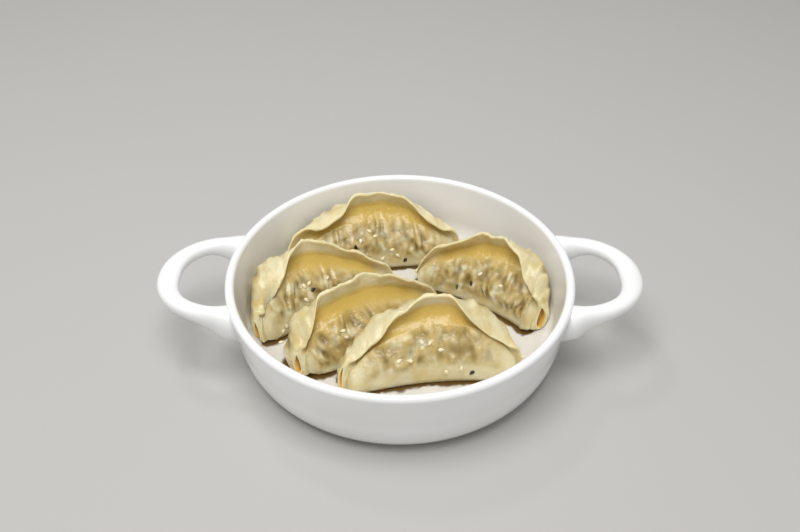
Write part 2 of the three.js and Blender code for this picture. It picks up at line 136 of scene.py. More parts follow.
# Half thickness of the body up its height, as a share of the thickest place.
BODY_AT = (0, 0.06, 0.15, 0.3, 0.45, 0.6, 0.75, 0.88, 1)
FRONT_BODY = (0.82, 0.91, 0.97, 1, 0.94, 0.77, 0.51, 0.25, 0.07)
BACK_BODY = (0.7, 0.84, 0.94, 1, 0.98, 0.88, 0.68, 0.42, 0.12)

CAP_DEPTH = 1.3           # rounding of a closed, blunt corner
CAP_ROWS = 16
# Mouth of a sprung corner: its half width from the bottom to the pointed top, in steps of the section.
MOUTH_AT = (0, 0.22, 0.7, 1.3, 1.84, 2)
MOUTH_HALF = (0.2, 0.5, 0.9, 0.6, 0.12, 0.05)
MOUTH_LOW, MOUTH_HIGH = 0.22, 1.84  # levels between which it is open
MOUTH_DEPTH_LEVEL = 0.7   # level on the section where the mouth closes inside
MOUTH_SHRINK = 0.45       # share of the height that it loses on the way in
MOUTH_PLUMP = 0.35        # how blunt the lips' outline is
# Rows over that corner: how far drawn to the lips, space outside the mouth, height of the row, depth.
MOUTH_ROW = (0, 1, 2, 3, 4, 5, 6, 7, 8, 9, 10, 15, 16)
MOUTH_DRAWN = (0, 0.05, 0.2, 0.45, 0.75, 1, 1, 1, 1, 1, 1, 1, 1)
MOUTH_GAP = (0.7, 0.7, 0.7, 0.7, 0.7, 0.7, 0.65, 0.5, 0.3, 0.08, 0, 0, -3)
MOUTH_LIFT = (0, 0.3, 0.5, 0.6, 0.6, 0.6, 0.8, 1.0, 0.95, 0.6, 0.2, 0, 0)
MOUTH_IN = 17             # depth of the mouth, in degrees along the dumpling
TURN_ROWS = (0, 9)        # rows that close in on the mouth
DEEP_ROWS = (9, 15)       # and that go in
LIP_STARTS, LIP_ENDS = (5, 6), (8, 9)  # rows between which the pale lip begins and ends
INSIDE_ROWS = (8, 9.5)    # and the painted shade inside begins

# Share of the way round a section, and what it meets there: 0 the fold, 1 the seam's root, 2 its edge.
ROUND_AT = (0, 0.03, 0.45, 0.54, 0.575, 0.61, 0.68, 0.97, 1)
ROUND_L = (0, 0, 1, 1.88, 2, 1.88, 1, 0, 0)
EDGE_AT = 0.575           # the free edge, where the front goes over to the back

# Small forms of the dough, read from noise: length along and up the sheet in mm, and the noise's seed.
FORMS = {"bend": (11, 11, 3), "lumps": (4.6, 4.6, 0), "folds": (2.3, 8.5, 20), "fine": (1.6, 2.6, 40),
         "pits": (2.9, 2.9, 50), "soft": (4.2, 11, 60), "broad": (7, 7, 66), "thin": (2.8, 4.2, 80),
         "patch": (12, 12, 7)}
BEND_SIZE = 6             # how far the folds wander sideways
LUMP_SIZE, FOLD_SIZE, PIT_SIZE, FINE_SIZE = 1.3, 1.3, 0.45, 0.2
FOLD_LEAST = 0.3          # strength of the folds where they are weakest
BACK_SOFT, BACK_THIN, SEAM_THIN = 2.4, 0.8, 0.14

# Where forms and looks set in and end: levels of a section (FOOT, TOP), from 0 at the foot to 2 at the free
# edge, and distances from the corners (ENDS), from 0 there to 1 in the middle.
BELLY_FOOT, BELLY_TOP, BELLY_ENDS = 0.22, (0.7, 0.96), (0.25, 0.7)
BACK_FOOT, BACK_TOP, BACK_ENDS = (0.03, 0.15), (0.9, 1.15), (0.1, 0.3)
BACK_LEFT = 0.6           # share of the back's folds lost above BACK_TOP
LOBE_FOOT, LOBE_TOP = (0.1, 0.3), (0.65, 0.95)
SAG_FOOT, SAG_TOP = (0, 0.08), (0.35, 0.85)
FILLING_FOOT, FILLING_TOP, FILLING_ENDS = 0.2, (0.68, 0.92), (0.2, 0.7)
BEHIND_TOP, BEHIND_ENDS = (0.86, 1), (0.05, 0.25)
BEHIND_SHARE = 0.9        # how much of the filling shows through the back
# painted shade: the ochre hollow under the seam on the front
HOLLOW_SHADE_FOOT, HOLLOW_SHADE_TOP, HOLLOW_SHADE_ENDS = (0.62, 0.9), (1.0, 1.55), (0.3, 0.8)
PALE_EDGE, PALE_SHARE = (1.2, 1.9), 0.6
DRY_EDGE, DAMP_BACK = 0.4, 0.6  # wetness lost at the edge of a front, and wetness of a back
SLIT_TOP, SLIT_PALE = (0.9, 1.7), 0.6  # the painted shade inside a mouth gets lighter toward its top

# What a dumpling has unless it says otherwise: no sprung corner, no bulge, no taper.
PLAIN = dict(corner=None, forward=0, slide=0, inward=0, stand=1, keep=1, low=0, cut=0, sag=(0, 0, 1), taper=0)
# x, y, turn: its place. length, height, seam: its size, with the seam's width. front, back: half
# thickness. bow, away: how far its middle bows backward and how far it leans back. skew, full: where its
# crest is highest, and how full its outline is. all, near, far, ends: lean of the curl everywhere, then
# toward its left and right part (degrees, place, spread), then at its two corners.
# corner: angle of the sprung one. forward, slide, inward: how far that is moved forward, its front lip
# along, and both in. stand, keep: run of the upright part, and share of the lean kept there.
# low, cut: share of height lost, and slant. sag: bulge of the back (size, place, spread).
# clear: smooth share at the foot. folds: strength of the belly's folds. phase: where its waves start.
DUMPLINGS = {
    "front": dict(PLAIN, x=14, y=-38.3, turn=7, length=90.6, height=30.9, seam=7, front=14.2, back=12.4,
                  bow=10.6, away=20.7, skew=-0.21, full=1.18, all=21, ends=(6, -4),
                  near=(91, 44, 34), far=(110, 137, 28), phase=0.4, clear=0.24, folds=0.6,
                  corner=0, forward=6, slide=2.5, stand=8, keep=0, low=0.15, cut=0.33),
    "middle": dict(PLAIN, x=-18, y=-12, turn=30.9, length=88, height=27.6, seam=7.8, front=14.5, back=13.9,
                   bow=1.5, away=16.4, skew=0.13, full=0.87, all=19, ends=(40, 14),
                   near=(102, 32, 24), far=(38, 143, 22), phase=1.7, clear=0.08, folds=1.3,
                   corner=0, forward=7.5, slide=4, inward=1.5, stand=7, keep=0, low=0.4, cut=0.2),
    "left": dict(PLAIN, x=-38.4, y=7.6, turn=30.3, length=82.9, height=26.8, seam=8.3, front=12.1, back=11.2,
                 bow=9.5, away=25.2, skew=0.38, full=0.77, all=27, ends=(-7, 27),
                 near=(149, 38, 30), far=(35, 137, 23), phase=3.1, clear=0.2, folds=0.9,
                 corner=0, forward=5.5, slide=2.5, stand=7, keep=0, low=0.6, cut=0.16, sag=(4.5, 38, 30)),
    "back": dict(PLAIN, x=-13.3, y=42.3, turn=13.8, length=97.6, height=30.1, seam=8.3, front=12.2, back=7.7,
                 bow=12.9, away=24.5, skew=0.05, full=0.84, all=31, ends=(-8, 7),
                 near=(62, 60, 22), far=(69, 140, 22), phase=4.6, clear=0.15, folds=0.9),
    "right": dict(PLAIN, x=41.5, y=13.5, turn=-34.6, length=82.9, height=29.9, seam=8.8, front=11.3, back=6.3,
                  bow=11.4, away=18.4, skew=-0.35, full=0.75, all=37, ends=(67, -6),
                  near=(23, 43, 33), far=(121, 142, 32), phase=5.5, clear=0.08, folds=1.1,
                  corner=180, forward=2, slide=6, inward=2, stand=9, keep=0.35, low=0.5, cut=0.27, taper=0.6),
}

# Planes that two neighbours press against: the pair, direction, distance from the origin.
PRESSED = (
    ("front", "middle", (-0.478, 0.835, -0.272), -14.45),
    ("middle", "left", (-0.479, 0.856, -0.193), 16.08),
    ("middle", "right", (0.794, 0.59, -0.145), 20.87),
    ("left", "back", (-0.211, 0.887, -0.41), 33.93),
    ("back", "right", (0.212, -0.976, -0.042), -39.3),
)

# What lies on the fronts: kind, angle along the dumpling in degrees, height up the body.
TOPPING = {
    "front": (("white", 86, 0.62), ("white", 91, 0.6), ("white", 70, 0.49), ("white", 77, 0.46),
              ("white", 101, 0.21), ("white", 111, 0.28), ("black", 119, 0.19), ("white", 98, 0.52)),
    "middle": (("white", 70, 0.65), ("white", 71, 0.56)),
    "left": (("white", 78, 0.62), ("white", 83, 0.64), ("white", 98, 0.66), ("white", 76, 0.44),
             ("white", 51, 0.2), ("white", 45, 0.13), ("black", 84, 0.55)),
    "back": (("white", 93, 0.57), ("white", 89, 0.65), ("white", 82, 0.55), ("white", 96, 0.22),
             ("white", 103, 0.36), ("white", 107, 0.26), ("black", 78, 0.48), ("black", 112, 0.17)),
    "right": (("white", 84, 0.57), ("white", 103, 0.49), ("black", 80, 0.41), ("herb", 68, 0.28)),
}
FLOOR_SEEDS = ((-59.7, -12.9), (29, -45.5))
SEED_SPIN = 2.4           # each seed is turned by this much more than the last, in radians
SEED_TAPER = 0.55         # share of its width that a seed loses at its narrow end
SEED_UP, HERB_UP = 0.3, 0.12  # share of its thickness that its middle lies above the dough
HERB_THIN, HERB_SLIM = 0.5, 0.8
SPOT_STEP = 0.03          # how far apart the points lie that tell which way the dough faces
CAST_FROM = 6             # a seed is dropped onto the dough from this far off, in mm

# Stage, in m.
FLOOR_SIZE = 4
FLOOR_UNDER = 0.0002      # the floor lies this far under the dish
LIGHTS = (("overhead", (-0.12, -0.22, 1.1), 0.75), ("spark", (-0.3, 0.5, 0.9), 0.1))  # place, side
CAMERA_FAR = 0.429        # from the camera to the point on the dish's axis that it looks at
CAMERA_AIM = 0.0442       # height of that point

COLOUR = dict(subtype="COLOR", size=4, min=0, max=1)


def linear(code):
    """sRGB hex colour as linear light, with a full alpha."""
    parts = [int(code[i:i + 2], 16) / 255 for i in (0, 2, 4)]
    return (*(c / 12.92 if c <= 0.04045 else ((c + 0.055) / 1.055) ** 2.4 for c in parts), 1.0)


def node(tree, kind, settings=None, sockets=None):
    """Adds a node with its settings, then fills its sockets with values or links."""
    made = tree.nodes.new(kind)
    for name, value in (settings or {}).items():
        setattr(made, name, value)
    for key, value in (sockets or {}).items():
        if isinstance(value, bpy.types.NodeSocket):
            tree.links.new(value, made.inputs[key])
        else:
            made.inputs[key].default_value = value
    return made


def new_material(name):
    """A material with an empty node tree."""
    mat = bpy.data.materials.new(name)
    mat.use_nodes = True
    mat.node_tree.nodes.clear()
    return mat, mat.node_tree


def finish_piece(name, bm, mat, replaced):
    """Turns a bmesh in mm into a finished piece that rides on the dish and stands for CAD nodes."""
    bmesh.ops.transform(bm, matrix=Matrix.Scale(MM, 4), verts=bm.verts)
    mesh = bpy.data.meshes.new(name)
    bm.to_mesh(mesh)
    bm.free()
    for poly in mesh.polygons:
        poly.use_smooth = True
    mesh.materials.append(mat)
    obj = bpy.data.objects.new(name, mesh)
    bpy.context.collection.objects.link(obj)
    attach(obj, "root")
    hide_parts(*replaced)
    return obj


def smooth_step(x, low, high):
    """0 below low, 1 above high, and smooth between them."""
    u = np.clip((x - low) / (high - low), 0, 1)
    return u * u * (3 - 2 * u)


def bell(x, centre, spread):
    """1 at the centre, falling off on both sides over the spread."""
    return np.exp(-(np.abs((x - centre) / spread) ** BELL_POWER))


def curve(at, value, x):
    """Smooth reading of a short table."""
    at, value, x = np.array(at, float), np.array(value, float), np.asarray(x, float)
    slope = np.gradient(value, at)
    i = np.clip(np.searchsorted(at, x) - 1, 0, len(at) - 2)
    h = at[i + 1] - at[i]
    u = np.clip((x - at[i]) / h, 0, 1)
    return ((2 * u**3 - 3 * u**2 + 1) * value[i] + (u**3 - 2 * u**2 + u) * h * slope[i]
            + (3 * u**2 - 2 * u**3) * value[i + 1] + (u**3 - u**2) * h * slope[i + 1])


def grain(x, y, z):
    """Noise read at points, roughly between -1 and 1."""
    return np.array([noise.noise((a, b, z)) for a, b in zip(x.tolist(), y.tolist())])


def grain_along(x, z):
    """Noise along a line, read once for each different place on it."""
    places, back = np.unique(np.round(x, 4), return_inverse=True)
    return grain(places, np.zeros_like(places), z)[back]


def outer_radius(z, dish):
    """Outside radius of the dish at a height."""
    if z > SHOULDER_HEIGHT:
        w = (z - SHOULDER_HEIGHT) / (dish.height - SHOULDER_HEIGHT)
        return SHOULDER_RADIUS + (dish.rim_radius - SHOULDER_RADIUS) * w
    u = min((SHOULDER_HEIGHT - z) / SHOULDER_HEIGHT, 1)
    return BASE_RADIUS + (SHOULDER_RADIUS - BASE_RADIUS) * (1 - u ** CORNER_POWER) ** (1 / CORNER_POWER)


def station_angle(u):
    """Angle along a dumpling, from corner to corner, for a share of its sections."""
    even = END_ANGLE + (1 - 2 * END_ANGLE) * u
    return (even - CROWDING * np.sin(2 * math.pi * even) / (2 * math.pi)) * math.pi


def settle(name, p, dish):
    """Keeps points of a dumpling off the dish and behind the planes it is pressed against."""
    for first, second, normal, offset in PRESSED:
        if name not in (first, second):
            continue
        side = 1 if name == first else -1
        n = np.array(normal) / np.linalg.norm(normal)
        over = np.maximum(side * (p @ n - offset) + CONTACT / 2, 0)
        p = p - side * over[:, None] * n
    p[:, 2] = np.maximum(p[:, 2], FLOOR_THICK + CONTACT)
    r = np.hypot(p[:, 0], p[:, 1])
    inside = SHOULDER_RADIUS - dish.wall
    rise = SHOULDER_HEIGHT - FLOOR_THICK
    a = (r - FLOOR_RADIUS) / (inside - FLOOR_RADIUS)
    b = np.maximum((SHOULDER_HEIGHT - p[:, 2]) / rise, 0)
    far = (np.maximum(a, 0) ** CORNER_POWER + b ** CORNER_POWER) ** (1 / CORNER_POWER)
    most = 1 - WALL_GAP / rise
    low = (p[:, 2] < SHOULDER_HEIGHT) & (a > 0) & (far > most)
    share = np.where(low, most / np.maximum(far, 1e-6), 1)
    slant = (dish.rim_radius - SHOULDER_RADIUS) / (dish.height - SHOULDER_HEIGHT)
    straight = SHOULDER_RADIUS + slant * (p[:, 2] - SHOULDER_HEIGHT) - dish.wall - WALL_GAP
    limit = np.where(low, FLOOR_RADIUS + (r - FLOOR_RADIUS) * share,
                     np.where(p[:, 2] >= SHOULDER_HEIGHT, np.minimum(r, straight), r))
    p[:, 2] = np.where(low, SHOULDER_HEIGHT - (SHOULDER_HEIGHT - p[:, 2]) * share, p[:, 2])
    k = np.where(r > limit, limit / np.maximum(r, 1e-6), 1)
    p[:, :2] *= k[:, None]
    return p


def dough_surface(d, t, l, x, h, front):
    """Small forms of the dough in mm, and how far each point lies on a ridge or in a crease."""
    s = np.sin(t)
    v, w = np.minimum(l, 1), np.maximum(l - 1, 0)

    def form(kind, aside=0):
        along, up, seed = FORMS[kind]
        return grain((x + aside) / along, h / up, 10 * d["phase"] + seed)

    bend = BEND_SIZE * form("bend")
    lumps, pits, thin = form("lumps"), form("pits"), form("thin")
    folds = d["folds"] * (FOLD_LEAST + smooth_step(form("patch"), -0.25, 0.25))
    creases = form("folds", bend)
    soft = 0.6 * form("soft", bend) + 0.6 * form("broad")
    # the belly between a smooth foot and the hollow under the seam, and the back above its foot
    filled = (smooth_step(v, d["clear"], d["clear"] + BELLY_FOOT) * (1 - smooth_step(v, *BELLY_TOP))
              * smooth_step(s, BELLY_ENDS[0] + d["clear"], BELLY_ENDS[1] + d["clear"]))
    behind = smooth_step(v, *BACK_FOOT) * smooth_step(s, *BACK_ENDS)
    belly = filled * (LUMP_SIZE * lumps + folds * FOLD_SIZE * creases + PIT_SIZE * pits
                      + FINE_SIZE * form("fine", bend))
    back = behind * (BACK_SOFT * soft + BACK_THIN * thin) * (1 - BACK_LEFT * smooth_step(l, *BACK_TOP))
    height = np.where(front, belly, back) + SEAM_THIN * thin * smooth_step(w, 0, 0.2)
    # ridge drives the painted highlight on the crests and the painted shade in the creases
    ridge = np.where(front, filled * np.clip(lumps + folds * creases + 0.7 * pits, -1, 1),
                     behind * np.clip(2.0 * soft + 0.6 * thin, -1, 1) * (1 - 0.7 * w))
    return height, ridge


def dough_points(name, t, l, side, dish, shrink=1.0, reach_out=0.0, relief=True, drawn=0.0, mouth=0.0):
    """Points on a dumpling: angle t, way l up the body (0 to 1) and seam (1 to 2), side -1 front.

    Where drawn is over 0 the half thickness goes over to that of the mouth of a sprung corner.
    """
    d = DUMPLINGS[name]
    phase = d["phase"]
    s = np.maximum(np.sin(t), 1e-3)
    turn = np.degrees(t)
    reach = d["length"] / 2 - CORNER_STEP
    has_mouth = d["corner"] is not None
    sprung = reach * (1 - np.cos(t - math.radians(d["corner"]))) if has_mouth else np.full_like(t, FAR_OFF)

    # outline: the foot, the root of the seam above it, and the seam's width and lean
    low = 1 - d["low"] * (1 - smooth_step(sprung, 0, SPRUNG_LOW))
    rise = CORNER_RISE + low * (d["height"] - CORNER_RISE) * s ** d["full"] * (1 + d["skew"] * np.cos(t))
    foot_x = -(reach - FOOT_STEP * smooth_step(sprung, 0, SPRUNG_UP[1])) * np.cos(t)
    root_x = -reach * np.cos(t)
    long = np.hypot(root_x - foot_x, rise)
    up_x, up_z = (root_x - foot_x) / long, rise / long
    ripple = sum(size * np.sin(waves * t + share * phase) for size, waves, share in RIPPLE)
    lean = np.radians(d["all"] + d["near"][0] * bell(turn, d["near"][1], d["near"][2])
                      + d["far"][0] * bell(turn, d["far"][1], d["far"][2])
                      + d["ends"][0] * bell(turn, 0, END_SPREAD)
                      + d["ends"][1] * bell(turn, 180, END_SPREAD) + ripple * s)
    lean = lean * (d["keep"] + (1 - d["keep"]) * smooth_step(sprung, 0, d["stand"]))
    size, waves, share = SEAM_WAVE
    width = (d["seam"] * (CORNER_SEAM + (1 - CORNER_SEAM) * np.sqrt(s))
             * (1 + size * np.sin(waves * t + share * phase)))
    width = width * (1 - SPRUNG_NARROW[0] * (1 - smooth_step(sprung, 0, SPRUNG_NARROW[1])))
    width = width * (1 - d["taper"] * (1 - smooth_step(reach * (1 - np.cos(t)), 0, TAPER_RUN)))

    # half thickness of the body and the seam
    fold = (1 - BEND_START) * long
    v, w = np.minimum(l, 1), np.maximum(l - 1, 0)
    front = side < 0
    swell = np.where(front, d["front"] * s ** FRONT_FALL, d["back"] * s ** BACK_FALL)
    body = np.where(front, curve(BODY_AT, FRONT_BODY, v), curve(BODY_AT, BACK_BODY, v))
    half = swell * body * (1 - w) ** 2 + DOUGH + (EDGE_DOUGH - DOUGH) * w
    size, place, spread = d["sag"]
    half = half + np.where(front, 0, size * bell(turn, place, spread) * smooth_step(v, *SAG_FOOT)
                           * (1 - smooth_step(v, *SAG_TOP)))
    lobes = sum(size * np.sin(waves * t + share * phase + twist * v) for size, waves, share, twist in LOBES)
    half = half + lobes * s * smooth_step(v, *LOBE_FOOT) * (1 - smooth_step(v, *LOBE_TOP))
    forward = d["forward"] * (1 - smooth_step(sprung, 0, SPRUNG_RUN))
    half = np.where(front, np.minimum(half, np.maximum(half - forward * body, SPRUNG_LEAST)),
                    half + forward * body)
    if has_mouth:
        half = half + GAPE[0] * bell(turn, d["corner"], GAPE[1]) * np.where(l < 1, v, 1)

    ridge = None
    if relief:
        height, ridge = dough_surface(d, t, l, root_x, v * long + w * width, front)
        half = half + height
        size, run, seed = LEAN_WAVE
        lean = lean + np.radians(size) * grain_along(root_x / run, seed + phase) * smooth_step(w, 0, 0.5)
        width = width + s * sum(size * grain_along(root_x / run, seed + phase)
                                for size, run, seed in WIDTH_WAVES)
        size, run, seed = EDGE_WAVE
        half = half + size * grain_along(root_x / run, seed + phase) * smooth_step(w, 0.6, 1)

    # the free edge is rounded, and so is the fold that the dumpling stands on
    round_from = 1 - EDGE_DOUGH / width
    edge = np.clip((w - round_from) / (1 - round_from), 0, 1)
    half = half * np.sqrt(np.maximum(1 - edge**2, 0))
    half = (half + (mouth - half) * drawn) * shrink

    # the curl: the top of the body and the root of the seam follow an arc, the rest of the seam is straight
    along = np.where(l < 1, v * long - (long - fold), fold + w * width)
    sign = np.where(lean < 0, -1.0, 1.0)
    angle = np.maximum(np.abs(lean), 1e-3)
    arc = fold + BEND_END * width
    radius = arc / angle
    a = np.clip(along / radius, 0, angle)
    tight = np.minimum(half, TIGHT * radius)
    half = np.where(front, half + (tight - half) * smooth_step(a, 0, TIGHT_TURN), half)
    past = np.maximum(along - arc, 0)
    climb = np.where(along < 0, along, radius * np.sin(a) + past * np.cos(angle))
    out = np.where(along < 0, 0, (radius * (1 - np.cos(a)) + past * np.sin(angle)) * sign)

    # place on the dumpling, then in the dish
    base = long - fold + climb + side * half * np.sin(a) * sign
    x = foot_x + up_x * base + reach_out
    z = up_z * base + SPRUNG_UP[0] * (1 - smooth_step(sprung, 0, SPRUNG_UP[1]))
    q = np.clip(2 * x / d["length"], -BOW_REACH, BOW_REACH)
    aside = side * half * np.cos(a) - forward
    y = -out + aside + d["bow"] * (1 - q * q) + math.tan(math.radians(d["away"])) * z
    if has_mouth:
        turned = (1 - smooth_step(sprung, 0, TURN_RUN)) * math.cos(math.radians(d["corner"]))
        toward = np.clip((FACE_WIDE / 2 - aside - forward) / FACE_WIDE, 0, 1)
        x = x + d["inward"] * turned + d["slide"] * turned * toward
    c, n = math.cos(math.radians(d["turn"])), math.sin(math.radians(d["turn"]))
    p = np.stack([d["x"] + c * x - n * y, d["y"] + n * x + c * y, z + FLOOR_THICK + CONTACT], axis=1)
    return settle(name, p, dish), ridge


def dough_material(dough):
    """Steamed wheat dough: thin, moist and let-through, with filling showing where it is stretched.

    The eye gets a soft yellow-cream sheet, an ochre band of painted shade under the seam, a mottled
    grey-cream belly with painted highlights on its fold crests and painted shade in its creases, painted
    shade inside the sprung corners, and small wet glints.
    """
    mat, tree = new_material("steamed wheat dough")
    where = node(tree, "ShaderNodeTexCoord").outputs["Object"]
    filling, ridge, under_seam, edge, inside, moist = (
        node(tree, "ShaderNodeAttribute", {"attribute_name": name}).outputs["Fac"]
        for name in ("filling", "ridge", "under_seam", "seam_edge", "inside_slit", "moist"))

    # size in mm and detail of four noises: patches of meat, leaf and fat seen through the dough, the slow
    # change of its thickness, beads and dried streaks of steam water, and the fine skin
    patches, slow, beads, skin = (
        node(tree, "ShaderNodeTexNoise", None,
             {"Vector": where, "Scale": 1 / (size * MM), "Detail": detail, "Roughness": 0.5}).outputs["Fac"]
        for size, detail in ((5, 1.5), (9, 2.0), (1.7, 2.0), (0.45, 1.0)))
    meaty, fatty, thick = (
        node(tree, "ShaderNodeMapRange", {"interpolation_type": "SMOOTHSTEP"},
             {"Value": value, "From Min": low, "From Max": high}).outputs[0]
        for value, low, high in ((patches, 0.25, 0.45), (patches, 0.45, 0.72), (slow, 0.3, 0.6)))
    # painted highlight on the crests of the folds and painted shade in the creases between them
    crest_light = node(tree, "ShaderNodeMapRange", None,
                 {"Value": ridge, "From Min": -0.9, "From Max": 0.3}).outputs[0]
    mottle = dough.leaf
    for share, over in ((meaty, dough.meat), (fatty, dough.fat)):
        mottle = node(tree, "ShaderNodeMix", {"data_type": "RGBA"}, {0: share, 6: mottle, 7: over}).outputs[2]
    mottle = node(tree, "ShaderNodeMix", {"data_type": "RGBA"},
                  {0: crest_light, 6: dough.crease_shade, 7: mottle}).outputs[2]
    # the ochre under the seam and the colour inside a sprung corner are painted shade
    colour = dough.thin_dough
    for share, over in ((thick, dough.thick_dough), (filling, mottle), (under_seam, dough.under_seam),
                        (edge, dough.edge), (inside, dough.slit_shade)):
        colour = node(tree, "ShaderNodeMix", {"data_type": "RGBA"}, {0: share, 6: colour, 7: over}).outputs[2]
    # the fronts are wet with juice, the backs only damp
    wet = node(tree, "ShaderNodeMath", {"operation": "MULTIPLY"}, {0: moist, 1: dough.wetness}).outputs[0]
    bump = node(tree, "ShaderNodeBump", None,
                {"Strength": 0.6, "Distance": 0.5 * MM, "Height": beads}).outputs[0]
    bump = node(tree, "ShaderNodeBump", None,
                {"Strength": 0.12, "Distance": 0.1 * MM, "Height": skin, "Normal": bump}).outputs[0]
    rough = node(tree, "ShaderNodeMapRange", None,
                 {"Value": slow, "From Min": 0.3, "From Max": 0.7, "To Min": 0.28, "To Max": 0.42}).outputs[0]
    shader = node(tree, "ShaderNodeBsdfPrincipled", {"subsurface_method": "RANDOM_WALK"}, {
        "Base Color": colour, "Roughness": rough, "IOR": 1.42,
        "Subsurface Weight": dough.let_through, "Subsurface Radius": (1.0, 0.8, 0.5),
        "Subsurface Scale": 2.4 * MM, "Coat Weight": wet, "Coat Roughness": 0.11,
        "Coat IOR": 1.38, "Normal": bump, "Coat Normal": bump})
    node(tree, "ShaderNodeOutputMaterial", None, {"Surface": shader.outputs[0]})
    return mat


def glaze_material(dish):
    """White glazed porcelain, fired: a clear gloss over a white body, with juice and painted shade on its
    floor.

    The eye gets a clean cool white, broad soft reflections and a faint unevenness of the glaze,
    and on the floor a dull beige film of juice and painted shade that goes brown, juice with a painted
    contact shadow, at the foot of each dumpling.
    """
    mat, tree = new_material("white glazed porcelain")
    where = node(tree, "ShaderNodeTexCoord").outputs["Object"]
    juice_and_shadow = node(tree, "ShaderNodeAttribute", {"attribute_name": "stain"}).outputs["Fac"]
    # pooling of the glaze, about 45 mm, and the faint orange peel of a dipped glaze, about 5 mm
    pool, peel = (
        node(tree, "ShaderNodeTexNoise", None,
             {"Vector": where, "Scale": 1 / (size * MM), "Detail": detail, "Roughness": rough}).outputs["Fac"]
        for size, detail, rough in ((45, 2.0, 0.5), (5, 1.0, 0.4)))
    # a film of juice and oil, darkened over the floor as painted shade, and the line of it drawn in at the
    # foot of each dumpling, dark as juice with a painted contact shadow
    pooled, film, line = (
        node(tree, "ShaderNodeMapRange", {"interpolation_type": "SMOOTHSTEP"},
             {"Value": value, "From Min": low, "From Max": high}).outputs[0]
        for value, low, high in ((pool, 0.3, 0.6), (juice_and_shadow, 0.0, 0.3), (juice_and_shadow, 0.42, 0.85)))
    colour = dish.glaze_shade
    for share, over in ((pooled, dish.glaze), (film, dish.juice_film_and_shade), (line, dish.juice_and_shadow)):
        colour = node(tree, "ShaderNodeMix", {"data_type": "RGBA"}, {0: share, 6: colour, 7: over}).outputs[2]
    bump = node(tree, "ShaderNodeBump", None,
                {"Strength": 0.12, "Distance": 0.12 * MM, "Height": peel}).outputs[0]
    rough = node(tree, "ShaderNodeMapRange", None,
                 {"Value": pool, "From Min": 0.3, "From Max": 0.7, "To Min": 0.16, "To Max": 0.24}).outputs[0]
    shader = node(tree, "ShaderNodeBsdfPrincipled", None, {
        "Base Color": colour, "Roughness": rough, "IOR": 1.5, "Coat Weight": 0.35,
        "Coat Roughness": 0.06, "Normal": bump})
    node(tree, "ShaderNodeOutputMaterial", None, {"Surface": shader.outputs[0]})
    return mat


def grain_material(name, dark, light, size):
    """A seed's hull or a leaf: mottled by a noise of a real size in mm, with a fine dull skin."""
    mat, tree = new_material(name)
    where = node(tree, "ShaderNodeTexCoord").outputs["Object"]
    spots = node(tree, "ShaderNodeTexNoise", None,
                 {"Vector": where, "Scale": 1 / (size * MM), "Detail": 2.0, "Roughness": 0.6}).outputs["Fac"]
    pale = node(tree, "ShaderNodeMapRange", {"interpolation_type": "SMOOTHSTEP"},
                {"Value": spots, "From Min": 0.35, "From Max": 0.65}).outputs[0]
    colour = node(tree, "ShaderNodeMix", {"data_type": "RGBA"}, {0: pale, 6: dark, 7: light}).outputs[2]
    # the hull's fine pitting is under 0.2 mm, drawn at 0.3 mm so that it shows
    pits = node(tree, "ShaderNodeTexNoise", None,
                {"Vector": where, "Scale": 1 / (0.3 * MM), "Detail": 1.0, "Roughness": 0.5}).outputs["Fac"]
    bump = node(tree, "ShaderNodeBump", None,
                {"Strength": 0.4, "Distance": 0.06 * MM, "Height": pits}).outputs[0]
    shader = node(tree, "ShaderNodeBsdfPrincipled", None, {
        "Base Color": colour, "Roughness": 0.38, "IOR": 1.46, "Coat Weight": 0.4,
        "Coat Roughness": 0.12, "Normal": bump})
    node(tree, "ShaderNodeOutputMaterial", None, {"Surface": shader.outputs[0]})
    return mat


def board_material(floor):
    """Matt pale board under the dish: an even warm grey with a barely seen cloudiness."""
    mat, tree = new_material("matt pale board")
    where = node(tree, "ShaderNodeTexCoord").outputs["Object"]
    # slow clouds about 160 mm across
    cloud = node(tree, "ShaderNodeTexNoise", None,
                 {"Vector": where, "Scale": 1 / (160 * MM)}).outputs["Fac"]
    darker = (*(c * 0.97 for c in floor[:3]), 1.0)
    colour = node(tree, "ShaderNodeMix", {"data_type": "RGBA"}, {0: cloud, 6: darker, 7: floor}).outputs[2]
    shader = node(tree, "ShaderNodeBsdfPrincipled", None, {"Base Color": colour, "Roughness": 0.8})
    node(tree, "ShaderNodeOutputMaterial", None, {"Surface": shader.outputs[0]})
    return mat


class DishSettings(bpy.types.PropertyGroup):
    """The dish: its sizes in mm and its glaze."""
    rim_radius: FloatProperty(name="Rim radius", description="Outside radius at the rim, in mm",
                              default=85, min=60, max=120)
    height: FloatProperty(name="Height", description="Height of the rim, in mm", default=42, min=25, max=70)
    wall: FloatProperty(name="Wall", description="Thickness of the wall, in mm", default=4.5, min=2, max=8)
    handle_tip: FloatProperty(name="Handle tip", description="Reach of a handle from the middle, in mm",
                              default=119, min=100, max=150)
    sides: IntProperty(name="Sides", description="Facets round the dish", default=384, min=48, max=512)
    glaze: FloatVectorProperty(name="Glaze", description="Colour of the glaze",
                               default=linear("FBFBFA"), **COLOUR)
    glaze_shade: FloatVectorProperty(name="Thin glaze", description="Colour where the glaze is thin",
                                     default=linear("F7F7F5"), **COLOUR)
    # painted shade: the film of juice on the floor is darkened to stand for the shade between the dumplings
    juice_film_and_shade: FloatVectorProperty(name="Film of juice", description="Colour of the film on the floor",
                                    default=linear("DEDAD2"), **COLOUR)
    # juice at a dumpling's foot, dark with a painted contact shadow
    juice_and_shadow: FloatVectorProperty(name="Juice", description="Colour of the juice at a dumpling's foot",
                               default=linear("5E451F"), **COLOUR)


